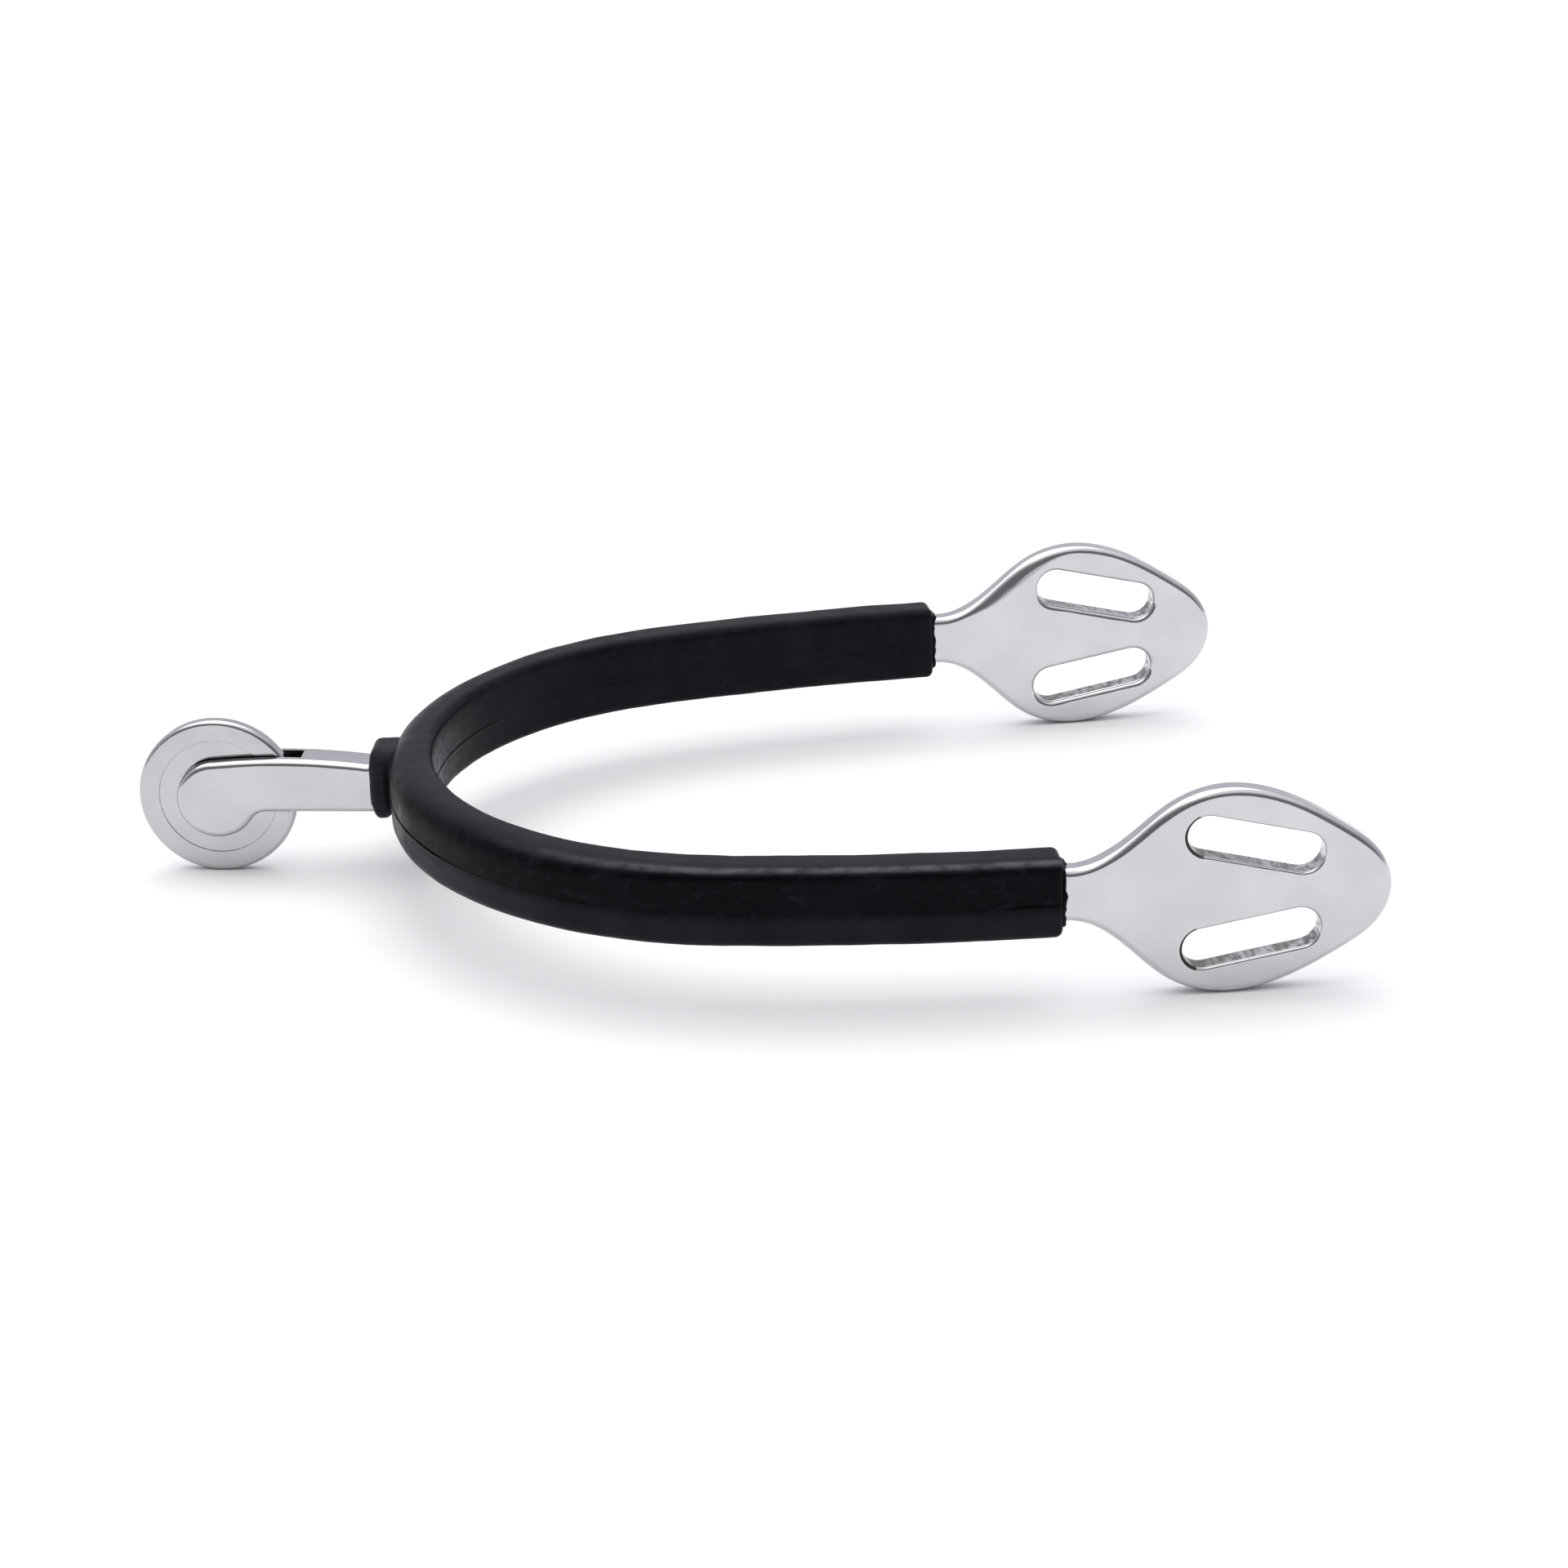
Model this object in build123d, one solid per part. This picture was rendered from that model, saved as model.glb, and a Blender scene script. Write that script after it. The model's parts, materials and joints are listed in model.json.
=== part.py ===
from build123d import *
import os
from math import atan2, cos, degrees, radians, sin

# A single English spur with a smooth disc rowel. All lengths are millimetres.
# It stands on z = 0, on the lower edges of its two eyelets and on the rowel.
# +X runs from the rowel to the tips of the eyelets, +Z is up, and the band is symmetric about y = 0.

# ---- heel band: a flat steel bar on edge, bent to a U --------------------------------------------
BAND_HEIGHT = 6.4
BAND_THICKNESS = 2.8
BAND_EDGE_R = 0.8
HEEL_R = 41.3                # bend round the back of the heel
HEEL_TURN = 68.7             # degrees
FLANK_R = 50.7               # where the heel turns into an arm
FLANK_TURN = 10.9            # degrees
ARM_R = 236.6                # an arm is hardly curved
ARM_SPLAY = 1.6              # degrees that each arm still opens where its eyelet begins
HEEL_DEPTH = 71.8            # along x, from the band's mid-line at the heel to the cover's ends
BAND_STUB = 1.0              # how far the bar runs on past its cover before the eyelet is cut off it

# ---- eyelets: leaf-shaped plates at the ends of the band -----------------------------------------
EYELET_THICKNESS = 3.1
EYELET_EDGE_R = 1.0
EYELET_DROOP = 1.8           # degrees that a plate slopes down towards its tip
# upper half of the plate's outline: along the arm from the end of the cover, and up from the middle
LEAF = [(1.4, 3.25), (7.4, 6.2), (13.4, 11.05), (19.5, 12.65), (27.0, 10.95), (33.5, 7.35), (37.0, 4.5)]
LEAF_TIP = 38.7
LEAF_ROOT = 0.12             # gap between the cover's end and the plate
SLOT_R = 2.45                # half the width of a strap slot
SLOT_REAR = (16.9, 6.95)     # centre of the slot's end nearest the band
SLOT_FRONT = (28.1, 4.65)    # centre of the slot's end nearest the tip
SLOT_EDGE_R = 0.35

# ---- neck and fork; heights are from the rowel's axis --------------------------------------------
NECK_YAW = 10.5              # degrees from the band's line of symmetry; the neck is square to the band
NECK_REACH = 25.0            # from the rowel's axis to the band's mid-line
NECK_THICKNESS = 5.2
CHEEK_R = 5.0
NECK_CROWN = (8.0, 5.4)      # highest point of the neck: along it from the rowel's axis, and up
NECK_ROOT_TOP = (19.0, 4.7)  # where the neck enters the collar
NECK_BOTTOM = -1.6
NECK_EDGE_R = 0.8
CHEEK_FILLET_R = 2.4
FORK_GAP = 2.5
FORK_DEPTH = 10.9            # from the rowel's axis to the bottom of the fork's slot

# ---- rowel and its rivet -------------------------------------------------------------------------
ROWEL_R = 10.0
ROWEL_THICKNESS = 2.0
ROWEL_EDGE_R = 0.6
ROWEL_RECESS_R = 7.4
ROWEL_RECESS = 0.1
RIVET_R = 1.5
RIVET_CLEARANCE = 0.05

# ---- rubber cover --------------------------------------------------------------------------------
SLEEVE_HEIGHT = 9.8
SLEEVE_THICKNESS = 5.6
SLEEVE_EDGE_R = 1.6
COLLAR_LENGTH = 2.7          # that shows outside the sleeve
COLLAR_HEIGHT = 9.2
COLLAR_WIDTH = 7.4
COLLAR_MIDDLE = 2.2          # above the rowel's axis
COLLAR_CORNER_R = 2.0
COLLAR_EDGE_R = 0.9


def leaf_face():
    """Outline of an eyelet plate, symmetric about its own x axis."""
    rim = Spline(LEAF + [(LEAF_TIP, 0)], tangents=[(1, 0.05), (0, -1)])
    root = Polyline((LEAF_TIP, 0), (LEAF_ROOT, 0), (LEAF_ROOT, LEAF[0][1]), LEAF[0])
    half = make_face(Wire(root.edges() + rim.edges()))
    return half + mirror(half, about=Plane.XZ)


# ---- worked out from the above -------------------------------------------------------------------
UP = Vector(0, 0, 1)
DROOPED_LEAF = (Rot(0, 0, -EYELET_DROOP) * leaf_face()).bounding_box()
NECK_DIR = Vector(cos(radians(NECK_YAW)), -sin(radians(NECK_YAW)), 0)
NECK_SIDE = NECK_DIR.cross(UP)                # across the neck, towards the near arm
# places below are measured from the band's mid-line at the heel, until ORIGIN centres the part
NECK_ROOT = Vector(HEEL_R, 0, 0) - NECK_DIR * HEEL_R
ROWEL_CENTRE = NECK_ROOT - NECK_DIR * NECK_REACH
LEFT_END = ROWEL_CENTRE.X - ROWEL_R * NECK_DIR.X
RIGHT_END = HEEL_DEPTH + DROOPED_LEAF.max.X * cos(radians(ARM_SPLAY))
HEEL = Vector(-(LEFT_END + RIGHT_END) / 2, 0, -DROOPED_LEAF.min.Y)
ROWEL_AXIS = Vector(HEEL.X + ROWEL_CENTRE.X, ROWEL_CENTRE.Y, ROWEL_R)
# the neck's own plane: x along the neck towards the heel, y up, z across the neck
NECK_PLANE = Plane(origin=ROWEL_AXIS, x_dir=NECK_DIR, z_dir=NECK_SIDE)


def arm_edges(stub=0.0):
    """Mid-line of the far half of the band, from the heel to the end of its cover and on by stub."""
    arm_turn = 90 - ARM_SPLAY - HEEL_TURN - FLANK_TURN
    heel = JernArc(HEEL, (0, 1, 0), HEEL_R, -HEEL_TURN)
    flank = JernArc(heel @ 1, heel % 1, FLANK_R, -FLANK_TURN)
    arm = JernArc(flank @ 1, flank % 1, ARM_R, -arm_turn)
    rest = (HEEL.X + HEEL_DEPTH - (arm @ 1).X) / cos(radians(ARM_SPLAY))
    straight = Line(arm @ 1, (arm @ 1) + (arm % 1) * (rest + stub))
    return [heel, flank, arm, straight]


def arm_end(side):
    """Point and direction of the mid-line where an arm leaves its cover; side is +1 far, -1 near."""
    last = arm_edges()[-1]
    point, along = last @ 1, last % 1
    return Vector(point.X, side * point.Y, point.Z), Vector(along.X, side * along.Y, 0)


def swept_bar(height, thickness, edge_r, stub=0.0):
    """Bar of a rounded rectangular section that follows the band's mid-line from arm to arm."""
    far = arm_edges(stub)
    near = [edge.mirror(Plane.XZ) for edge in far]
    path = Wire(near + far)
    section_plane = Plane(origin=path @ 0, x_dir=UP, z_dir=path % 0)
    return sweep(section_plane * RectangleRounded(height, thickness, edge_r), path=path)


def eyelet_plane(side):
    """Middle plane of an eyelet: x from its arm to its tip, y up."""
    point, along = arm_end(side)
    droop = radians(EYELET_DROOP)
    return Plane(origin=point, x_dir=along * cos(droop) - UP * sin(droop), z_dir=along.cross(UP))


def eyelet_room(side):
    """The part of an arm's end that belongs to its eyelet."""
    room = Box(2 * BAND_STUB, 2 * BAND_HEIGHT, 2 * BAND_THICKNESS)
    return eyelet_plane(side) * Pos(LEAF_ROOT + BAND_STUB, 0) * room


def strap_slot(side):
    """Cutter for one slanted strap slot, above the middle for side +1 and below it for -1."""
    rear = Vector(SLOT_REAR[0], side * SLOT_REAR[1])
    front = Vector(SLOT_FRONT[0], side * SLOT_FRONT[1])
    run = front - rear
    turn = degrees(atan2(run.Y, run.X))
    slot = SlotCenterToCenter(run.length, 2 * SLOT_R, rotation=turn)
    return Pos((rear + front) / 2) * extrude(slot, amount=EYELET_THICKNESS, both=True)


def eyelet(side):
    """Leaf-shaped plate with two strap slots, in its place at the end of an arm."""
    plate = extrude(leaf_face(), amount=EYELET_THICKNESS / 2, both=True)
    flat_edges = plate.faces().filter_by(Axis.Z).edges()
    plate = fillet([edge for edge in flat_edges if edge.center().X > 2 * LEAF_ROOT], EYELET_EDGE_R)
    for upper_or_lower in (1, -1):
        plate -= strap_slot(upper_or_lower)
    slot_rims = [edge for face in plate.faces().filter_by(Axis.Z) for wire in face.inner_wires()
                 for edge in wire.edges()]
    plate = fillet(slot_rims, SLOT_EDGE_R)
    return eyelet_plane(side) * plate


def neck_blank():
    """The neck and its cheek before the fork is cut, from the rowel's axis into the band."""
    crown = ThreePointArc((0, CHEEK_R), NECK_CROWN, NECK_ROOT_TOP)
    rest = Polyline(NECK_ROOT_TOP, (NECK_REACH, NECK_ROOT_TOP[1]), (NECK_REACH, NECK_BOTTOM), (0, NECK_BOTTOM),
                    (0, CHEEK_R))
    outline = make_face(Wire(crown.edges() + rest.edges())) + Circle(CHEEK_R)
    throat = outline.vertices().filter_by_position(Axis.X, 1, CHEEK_R).filter_by_position(Axis.Y, -CHEEK_R, 0)
    outline = fillet(throat, CHEEK_FILLET_R)
    blank = extrude(outline, amount=NECK_THICKNESS / 2, both=True)
    return fillet(blank.faces().filter_by(Axis.Z).edges(), NECK_EDGE_R)


def neck(band):
    """Neck with the slot of its fork and the rivet's hole, butted against the band."""
    gap = Pos(FORK_DEPTH / 2 - CHEEK_R, 0) * Box(FORK_DEPTH + 2 * CHEEK_R, 3 * CHEEK_R, FORK_GAP)
    hole = Cylinder(RIVET_R, 2 * NECK_THICKNESS)
    return NECK_PLANE * (neck_blank() - gap - hole) - band


def rowel():
    """Smooth disc with a rounded rim, a shallow turned recess on each side and a running bore."""
    disc = Cylinder(ROWEL_R, ROWEL_THICKNESS)
    disc = fillet(disc.edges().filter_by(GeomType.CIRCLE), ROWEL_EDGE_R)
    for side in (1, -1):
        disc -= Pos(0, 0, side * ROWEL_THICKNESS / 2) * Cylinder(ROWEL_RECESS_R, 2 * ROWEL_RECESS)
    return NECK_PLANE * (disc - Cylinder(RIVET_R + RIVET_CLEARANCE, 2 * ROWEL_THICKNESS))


def rivet():
    """Rivet, flush with both cheeks of the fork."""
    return NECK_PLANE * Cylinder(RIVET_R, NECK_THICKNESS)


def neck_collar(shank, sleeve):
    """Rounded rubber collar round the neck, against the sleeve."""
    inner_end = NECK_REACH - BAND_THICKNESS / 2
    outer_end = NECK_REACH - SLEEVE_THICKNESS / 2 - COLLAR_LENGTH
    block = Box(inner_end - outer_end, COLLAR_HEIGHT, COLLAR_WIDTH)
    block = fillet(block.edges().filter_by(Axis.X), COLLAR_CORNER_R)
    block = fillet(block.faces().sort_by(Axis.X)[0].edges(), COLLAR_EDGE_R)
    return NECK_PLANE * Pos((inner_end + outer_end) / 2, COLLAR_MIDDLE) * block - sleeve - shank


def main():
    os.makedirs("parts", exist_ok=True)
    band = swept_bar(BAND_HEIGHT, BAND_THICKNESS, BAND_EDGE_R, BAND_STUB)
    band -= eyelet_room(-1) + eyelet_room(1)
    shank = neck(band)
    sleeve = swept_bar(SLEEVE_HEIGHT, SLEEVE_THICKNESS, SLEEVE_EDGE_R) - band - shank
    nodes = {
        "heel_band": band,
        "near_eyelet_plate": eyelet(-1),
        "far_eyelet_plate": eyelet(1),
        "forked_neck": shank,
        "rowel_disc": rowel(),
        "rowel_rivet": rivet(),
        "rubber_sleeve": sleeve,
        "neck_collar": neck_collar(shank, sleeve),
    }
    for name, solid in nodes.items():
        export_step(solid, f"parts/{name}.step")


if __name__ == "__main__":
    main()
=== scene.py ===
import bpy
import json
from math import atan2, cos, exp, pi, radians, sin, sqrt
from mathutils import Matrix, Vector, geometry, noise


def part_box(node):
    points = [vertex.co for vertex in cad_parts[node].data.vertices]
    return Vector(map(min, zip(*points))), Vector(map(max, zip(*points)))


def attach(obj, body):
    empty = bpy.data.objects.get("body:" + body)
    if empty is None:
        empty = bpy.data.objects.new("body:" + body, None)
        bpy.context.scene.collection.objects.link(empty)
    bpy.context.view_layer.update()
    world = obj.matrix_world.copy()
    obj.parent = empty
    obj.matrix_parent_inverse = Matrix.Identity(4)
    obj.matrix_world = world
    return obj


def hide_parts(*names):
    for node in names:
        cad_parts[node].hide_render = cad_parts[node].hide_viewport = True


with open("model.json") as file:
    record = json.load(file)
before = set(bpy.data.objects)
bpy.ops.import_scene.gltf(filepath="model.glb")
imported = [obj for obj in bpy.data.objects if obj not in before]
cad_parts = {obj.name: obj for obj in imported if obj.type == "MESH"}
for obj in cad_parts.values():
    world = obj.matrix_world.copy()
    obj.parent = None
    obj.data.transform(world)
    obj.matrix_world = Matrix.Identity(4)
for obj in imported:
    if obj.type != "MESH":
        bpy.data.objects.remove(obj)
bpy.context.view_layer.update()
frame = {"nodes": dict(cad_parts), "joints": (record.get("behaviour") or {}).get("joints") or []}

# A spur with a smooth disc rowel and a rubber-covered heel band.
# Blender's lengths are metres; the shapes below are worked out in millimetres and turned with MM.
MM = 0.001

# ---- camera -------------------------------------------------------------------------------------
CAMERA_AZIMUTH = -6.95       # degrees
CAMERA_ELEVATION = 21.27     # degrees
CAMERA_ROLL = -1.20          # degrees
CAMERA_DISTANCE = 0.4829
CAMERA_LENS = 89.10          # millimetres on a 36 mm sensor
CAMERA_TARGET = Vector((0.00759, 0.0, 0.0111))

# ---- the band's mid-line, in millimetres ---------------------------------------------------------
BENDS = [(41.3, 68.7), (50.7, 10.9), (236.6, 8.8)]   # radius and turn in degrees, from the heel out
HEEL_DEPTH = 71.8            # along x, from the band's mid-line at the heel to the cover's ends
SLEEVE_HALF = 2.8            # half the cover's thickness
SLEEVE_LOW, SLEEVE_HIGH = [corner / MM for corner in map(Vector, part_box("rubber_sleeve"))]
HEEL_X = SLEEVE_LOW.x + SLEEVE_HALF
HEEL_Z = (SLEEVE_LOW.z + SLEEVE_HIGH.z) / 2

# ---- neck, square to the band; heights are from the rowel's axis, in millimetres -----------------
ROWEL_AXIS = Vector(frame["joints"][0]["pos_m"]) / MM
NECK_YAW = radians(10.5)
NECK_ALONG = Vector((cos(NECK_YAW), -sin(NECK_YAW), 0))
NECK_ACROSS = Vector((-sin(NECK_YAW), -cos(NECK_YAW), 0))
NECK_ROOT = 23.55            # from the rowel's axis to just short of the band's steel
NECK_HALF = 2.6              # half its thickness
CHEEK_R = 5.0
NECK_CROWN = (8.0, 5.4)
NECK_ROOT_TOP = (19.0, 4.7)
NECK_BOTTOM = -1.6
THROAT_R = 2.4
NECK_EDGE = 0.85
FORK_HALF = 1.25             # half the width of the fork's slot
RIVET_HOLE_R = 1.506
FORK_DEPTH = 10.9
RECESS_STEP = 7.45           # from the middle of the rowel to the step round its turned recess

# ---- eyelets, in millimetres; places are along the arm from the end of the cover, and up ---------
EYELET_DROOP = radians(1.8)
PLATE_HALF = 1.55            # half its thickness
PLATE_EDGE = 0.95
LEAF = [(1.4, 3.25), (7.4, 6.2), (13.4, 11.05), (19.5, 12.65), (27.0, 10.95), (33.5, 7.35), (37.0, 4.5)]
LEAF_TIP = 38.7
LEAF_BACK = -1.3             # the plate's hidden end, inside the cover
SLOT_REAR = Vector((16.9, 6.95))
SLOT_FRONT = Vector((28.1, 4.65))
SLOT_R = 2.45
SLOT_EDGES = {"outer": 0.35, "inner": 0.72}   # rounding of the slots' edges on each face of a plate
REAR_BEVEL = {"outer": 0.30, "inner": 1.1}    # extra rounding behind the upper slot

# ---- rubber cover, in millimetres ----------------------------------------------------------------
PARTING = -0.5               # height of the mould's parting line from the cover's middle
SLEEVE_RISE = 4.9            # half the cover's height
# across, + away from the heel's centre, and up; the sides draw in a little above and below the parting line
SLEEVE_CORNERS = [(SLEEVE_HALF, PARTING), (2.66, SLEEVE_RISE), (-2.64, SLEEVE_RISE),
                  (-SLEEVE_HALF, PARTING), (-2.7, -SLEEVE_RISE), (2.68, -SLEEVE_RISE)]
ARM_RADII = [0.3, 1.7, 1.2, 0.3, 1.2, 1.3]       # of those corners along the arms
HEEL_RADII = [0.3, 3.1, 1.2, 0.3, 1.2, 1.6]      # and round the heel, where the cover is softer
SLEEVE_END_R = 0.9
BORE = (1.47, 3.28)          # half of the bore's width and height
LIP_BORE = (1.66, 3.46)      # and where it opens round the eyelet's root
LIP_LENGTH = 0.45            # of the torn lip of rubber that creeps out along the steel
LIP_WIDTH = 0.38
NEAR_EXTRA = 0.25            # the cover reaches a little further along the near arm
BORE_TAPER = 1.2             # from the cover's end to where the bore is tight on the band

# ---- rubber collar, in millimetres; places are along the neck from the rowel's axis ---------------
COLLAR_OUTER_END = 19.65
COLLAR_VALLEY = 22.1         # of the crease where the collar meets the sleeve
COLLAR_INNER_END = 24.3
COLLAR_MIDDLE = 2.2          # above the rowel's axis
COLLAR_HALF = (3.7, 4.6)     # half its width and height
COLLAR_CORNER_R = 2.0
COLLAR_END_R = 1.0
COLLAR_BORE = (2.68, 3.24)   # half the bore's width and height
COLLAR_BORE_MIDDLE = 1.57    # above the rowel's axis


def node(tree, kind, **values):
    """New shader node; values are attributes or, with a leading capital, input sockets."""
    made = tree.nodes.new(kind)
    for key, value in values.items():
        if key[0].isupper():
            made.inputs[key.replace("_", " ")].default_value = value
        else:
            setattr(made, key, value)
    return made


def camera():
    a, e, r = radians(CAMERA_AZIMUTH), radians(CAMERA_ELEVATION), radians(CAMERA_ROLL)
    back = Vector((sin(a) * cos(e), -cos(a) * cos(e), sin(e)))
    level = Vector((cos(a), sin(a), 0))
    above = back.cross(level)
    right = cos(r) * level + sin(r) * above
    up = back.cross(right)
    data = bpy.data.cameras.new("camera")
    data.sensor_width = 36
    data.lens = CAMERA_LENS
    data.clip_start = 0.01
    made = bpy.data.objects.new("camera", data)
    bpy.context.scene.collection.objects.link(made)
    turn = Matrix((right, up, back)).transposed().to_4x4()
    made.matrix_world = Matrix.Translation(CAMERA_TARGET + CAMERA_DISTANCE * back) @ turn
    bpy.context.scene.camera = made


# ---- studio --------------------------------------------------------------------------------------

def floor():
    mesh = bpy.data.meshes.new("floor")
    half = 6.0
    corners = [(-half, -half, 0), (half, -half, 0), (half, half, 0), (-half, half, 0)]
    mesh.from_pydata(corners, [], [(0, 1, 2, 3)])
    made = bpy.data.objects.new("floor", mesh)
    bpy.context.scene.collection.objects.link(made)
    paper = bpy.data.materials.new("floor_paper")
    paper.use_nodes = True
    shader = paper.node_tree.nodes["Principled BSDF"]
    shader.inputs["Base Color"].default_value = (0.93, 0.93, 0.935, 1)
    shader.inputs["Roughness"].default_value = 0.9
    shader.inputs["Specular IOR Level"].default_value = 0.1
    mesh.materials.append(paper)


def soft_box(name, place, size, energy):
    """Rectangular area light that looks at the object."""
    light = bpy.data.lights.new(name, "AREA")
    light.shape = "RECTANGLE"
    light.size, light.size_y = size
    light.energy = energy
    lamp = bpy.data.objects.new(name, light)
    bpy.context.scene.collection.objects.link(lamp)
    lamp.location = place
    lamp.rotation_mode = "QUATERNION"
    lamp.rotation_quaternion = (-lamp.location).to_track_quat("-Z", "Y")


def room():
    """World light: pale behind the object, dim in front of it, bright overhead. To the camera it is white."""
    world = bpy.data.worlds.new("studio")
    bpy.context.scene.world = world
    world.use_nodes = True
    tree = world.node_tree
    link = tree.links.new
    tree.nodes.clear()
    place = node(tree, "ShaderNodeTexCoord")
    split = node(tree, "ShaderNodeSeparateXYZ")
    link(place.outputs["Generated"], split.inputs[0])
    depth = node(tree, "ShaderNodeMapRange", interpolation_type="SMOOTHSTEP", From_Min=-0.75, From_Max=0.15)
    link(split.outputs["Y"], depth.inputs["Value"])
    height = node(tree, "ShaderNodeMapRange", interpolation_type="SMOOTHSTEP", From_Min=0.45, From_Max=0.85)
    link(split.outputs["Z"], height.inputs["Value"])
    walls = node(tree, "ShaderNodeMix", data_type="RGBA")
    walls.inputs[6].default_value = (0.20, 0.20, 0.21, 1)
    walls.inputs[7].default_value = (0.70, 0.71, 0.76, 1)
    link(depth.outputs[0], walls.inputs[0])
    sky = node(tree, "ShaderNodeMix", data_type="RGBA")
    sky.inputs[7].default_value = (1.06, 1.06, 1.08, 1)
    link(height.outputs[0], sky.inputs[0])
    link(walls.outputs[2], sky.inputs[6])
    light = node(tree, "ShaderNodeBackground")
    link(sky.outputs[2], light.inputs["Color"])
    seen = node(tree, "ShaderNodeBackground", Color=(0.97, 0.97, 0.97, 1))
    path = node(tree, "ShaderNodeLightPath")
    both = node(tree, "ShaderNodeMixShader")
    out = node(tree, "ShaderNodeOutputWorld")
    link(path.outputs["Is Camera Ray"], both.inputs[0])
    link(light.outputs[0], both.inputs[1])
    link(seen.outputs[0], both.inputs[2])
    link(both.outputs[0], out.inputs[0])


# ---- materials -----------------------------------------------------------------------------------

def material(name, **values):
    """New material with a Principled shader; returns it, its tree, its shader and its Object coordinate."""
    made = bpy.data.materials.new(name)
    made.use_nodes = True
    tree = made.node_tree
    shader = tree.nodes["Principled BSDF"]
    for key, value in values.items():
        shader.inputs[key.replace("_", " ")].default_value = value
    return made, tree, shader, node(tree, "ShaderNodeTexCoord").outputs["Object"]


def grain(tree, place, per_metre, stretch=(1, 1, 1), turn=0.0, detail=4.0, distortion=0.0):
    """Noise value with so many cells to the metre, drawn out along an axis by stretch."""
    moved = node(tree, "ShaderNodeMapping", Rotation=(0, 0, turn), Scale=stretch)
    made = node(tree, "ShaderNodeTexNoise", Scale=per_metre, Detail=detail, Distortion=distortion)
    tree.links.new(place, moved.inputs["Vector"])
    tree.links.new(moved.outputs[0], made.inputs["Vector"])
    return made.outputs["Fac"]


def spread(tree, value, low, high, to_low, to_high):
    made = node(tree, "ShaderNodeMapRange", interpolation_type="SMOOTHSTEP", From_Min=low, From_Max=high,
                To_Min=to_low, To_Max=to_high)
    tree.links.new(value, made.inputs["Value"])
    return made.outputs[0]


def blend(tree, value, first, second):
    """Colour between first and second by value; each is a colour or an output."""
    made = node(tree, "ShaderNodeMix", data_type="RGBA")
    tree.links.new(value, made.inputs[0])
    for socket, colour in ((made.inputs[6], first), (made.inputs[7], second)):
        if isinstance(colour, tuple):
            socket.default_value = (*colour, 1)
        else:
            tree.links.new(colour, socket)
    return made.outputs[2]


def arithmetic(tree, operation, first, second=0):
    """Result of a Math node; first and second are numbers or outputs."""
    made = node(tree, "ShaderNodeMath", operation=operation)
    for socket, value in zip(made.inputs, (first, second)):
        if isinstance(value, (int, float)):
            socket.default_value = value
        else:
            tree.links.new(value, socket)
    return made.outputs[0]


def bumps(tree, shader, layers):
    """Chain of bump nodes; a layer is a height value, a depth in metres and a strength."""
    normal = None
    for height, depth, strength in layers:
        made = node(tree, "ShaderNodeBump", Distance=depth, Strength=strength)
        tree.links.new(height, made.inputs["Height"])
        if normal is not None:
            tree.links.new(normal, made.inputs["Normal"])
        normal = made.outputs[0]
    tree.links.new(normal, shader.inputs["Normal"])


def forged_steel(name, dark, pale):
    """Hand-polished stainless steel: bright, faintly wavy, with fine polishing lines and a few matt spots."""
    made, tree, shader, place = material(name, Metallic=1.0)
    cloud = grain(tree, place, 160, detail=3)
    lines = grain(tree, place, 700, stretch=(1, 1, 9), turn=0.3, detail=6)
    specks = grain(tree, place, 2600, detail=2)
    colour = blend(tree, spread(tree, cloud, 0.3, 0.7, 0, 1), dark, pale)
    tree.links.new(colour, shader.inputs["Base Color"])
    rough = arithmetic(tree, "ADD", spread(tree, cloud, 0.3, 0.7, 0.07, 0.13),
                       spread(tree, lines, 0.45, 0.75, 0, 0.08))
    rough = arithmetic(tree, "ADD", rough, spread(tree, specks, 0.68, 0.8, 0, 0.12))
    tree.links.new(rough, shader.inputs["Roughness"])
    bumps(tree, shader, [(grain(tree, place, 220, detail=1), 0.00006, 0.6), (lines, 0.000004, 0.5),
                         (specks, 0.000004, 0.4)])
    return made


def milled_steel():
    """Walls of the strap slots: milled, hardly polished, with darker streaks, and painted shade darkening
    their rear ends.
    """
    made, tree, shader, place = material("milled_steel", Metallic=1.0)
    ridges = grain(tree, place, 1100, stretch=(1.3, 0.6, 1.3), detail=4, distortion=0.3)
    stain = grain(tree, place, 260, detail=3)
    colour = blend(tree, spread(tree, ridges, 0.35, 0.65, 0, 1), (0.20, 0.20, 0.205), (0.62, 0.622, 0.63))
    colour = blend(tree, spread(tree, stain, 0.5, 0.66, 0, 0.6), colour, (0.16, 0.13, 0.115))
    split = node(tree, "ShaderNodeSeparateXYZ")
    tree.links.new(place, split.inputs[0])
    # painted shade: the walls darken towards each slot's rear end, near-black right at it, for the dark
    # reflection there
    rear = (HEEL_X + HEEL_DEPTH + SLOT_REAR.x) * MM
    for ahead, cover, tint in ((0.0055, 0.75, (0.15, 0.12, 0.105)), (0.0005, 0.95, (0.035, 0.03, 0.028))):
        rear_shade = spread(tree, split.outputs["X"], rear - 0.0026, rear + ahead, cover, 0)
        colour = blend(tree, rear_shade, colour, tint)
    tree.links.new(colour, shader.inputs["Base Color"])
    tree.links.new(spread(tree, stain, 0.3, 0.7, 0.14, 0.26), shader.inputs["Roughness"])
    bumps(tree, shader, [(ridges, 0.00011, 0.8)])
    return made


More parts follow.
